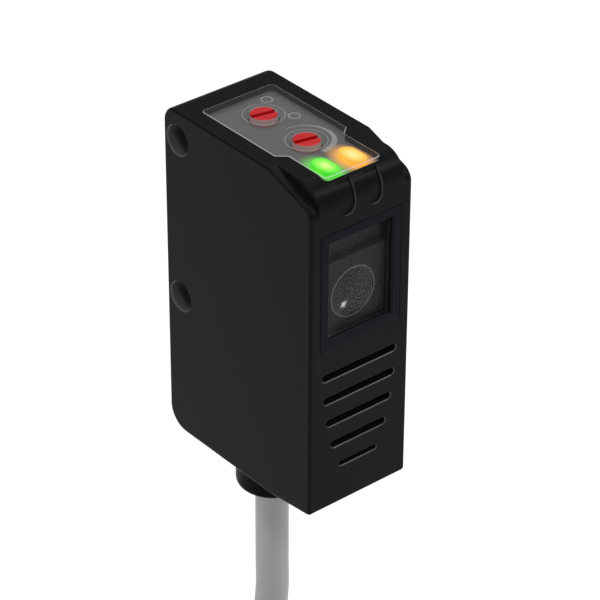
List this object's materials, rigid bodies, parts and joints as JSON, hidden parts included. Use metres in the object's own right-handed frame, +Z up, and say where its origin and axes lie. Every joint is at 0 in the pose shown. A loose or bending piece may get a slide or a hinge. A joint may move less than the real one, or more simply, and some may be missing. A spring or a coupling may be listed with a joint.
{
  "type": "photoelectric sensor",
  "caption": "Compact cabled photoelectric sensor with a front window and lens, slotted adjusters and status lights under a clear top cover, and side-to-side mounting holes.",
  "frame": {"origin": "centre of the upper mounting hole, half-way across the case", "axes": "+X across the case along the mounting holes, +Y towards the back so that the optical face looks along -Y, +Z up towards the control panel"},
  "size_m": [0.0689, 0.06, 0.1016],
  "materials": {
    "case_plastic": "satin moulded black",
    "clear_cover": "clear, frosted cut walls",
    "panel_plate": "smooth grey",
    "green_light": "lit, diffusing",
    "amber_light": "lit, diffusing",
    "led_body": "diffusing",
    "adjuster_red": "satin moulded red",
    "wiper_metal": "plated",
    "trimmer_body": "moulded blue",
    "seal_rubber": "matte black",
    "circuit_board": "green solder mask",
    "pin_metal": "gold flash",
    "chip_plastic": "matte black",
    "capacitor_ceramic": "matte tan",
    "window_plastic": "polished dark violet",
    "lens_plastic": "polished clear",
    "optics_black": "light-absorbing matte",
    "splitter_glass": "half-silvered",
    "polariser_film": "smoky film",
    "emitter_epoxy": "tinted clear",
    "receiver_body": "dark filter",
    "tinned_steel": "bright tinned",
    "screw_steel": "zinc plated",
    "cable_jacket": "semi-matte grey jacket",
    "tie_nylon": "matte black strap",
    "lead_insulation": "smooth, one colour each",
    "tinned_copper": "tinned strand"
  },
  "bodies": {
    "case": {"housing": "case_plastic", "side_cover": "case_plastic", "indicator_cover": "clear_cover", "panel_plate": "panel_plate", "green_light_pipe": "green_light", "amber_light_pipe": "amber_light", "green_led": "led_body", "amber_led": "led_body", "sensitivity_trimmer": "trimmer_body", "mode_trimmer": "trimmer_body", "adjuster_seals": "seal_rubber", "control_board": "circuit_board", "main_board": "circuit_board", "board_link": "pin_metal", "signal_chip": "chip_plastic", "output_driver": "chip_plastic", "capacitors": "capacitor_ceramic", "front_window": "window_plastic", "window_seal": "seal_rubber", "lens": "lens_plastic", "optics_block": "optics_black", "optics_lid": "optics_black", "beam_splitter": "splitter_glass", "polariser": "polariser_film", "emitter": "emitter_epoxy", "receiver": "receiver_body", "receiver_shield": "tinned_steel", "optics_screws": "screw_steel", "cable_gland": "case_plastic", "gland_nut": "case_plastic", "cable_seal": "seal_rubber", "crimp_ring": "tinned_steel", "inner_leads": "lead_insulation", "cable": "cable_jacket", "cable_coil": "cable_jacket", "coil_ties": "tie_nylon", "signal_leads": "lead_insulation", "lead_tips": "tinned_copper"},
    "sensitivity_rotor": {"sensitivity_adjuster": "adjuster_red", "sensitivity_wiper": "wiper_metal"},
    "mode_rotor": {"mode_adjuster": "adjuster_red", "mode_wiper": "wiper_metal"}
  },
  "joints": [
    {"name": "sensitivity_turn", "type": "hinge", "parent": "case", "child": "sensitivity_rotor", "pos_m": [0, -0.0134, 0], "axis": [0, 0, 1], "range_deg": [-83, 106]},
    {"name": "mode_turn", "type": "hinge", "parent": "case", "child": "mode_rotor", "pos_m": [0, -0.0062, 0], "axis": [0, 0, 1], "range_deg": [-33, 57]}
  ]
}
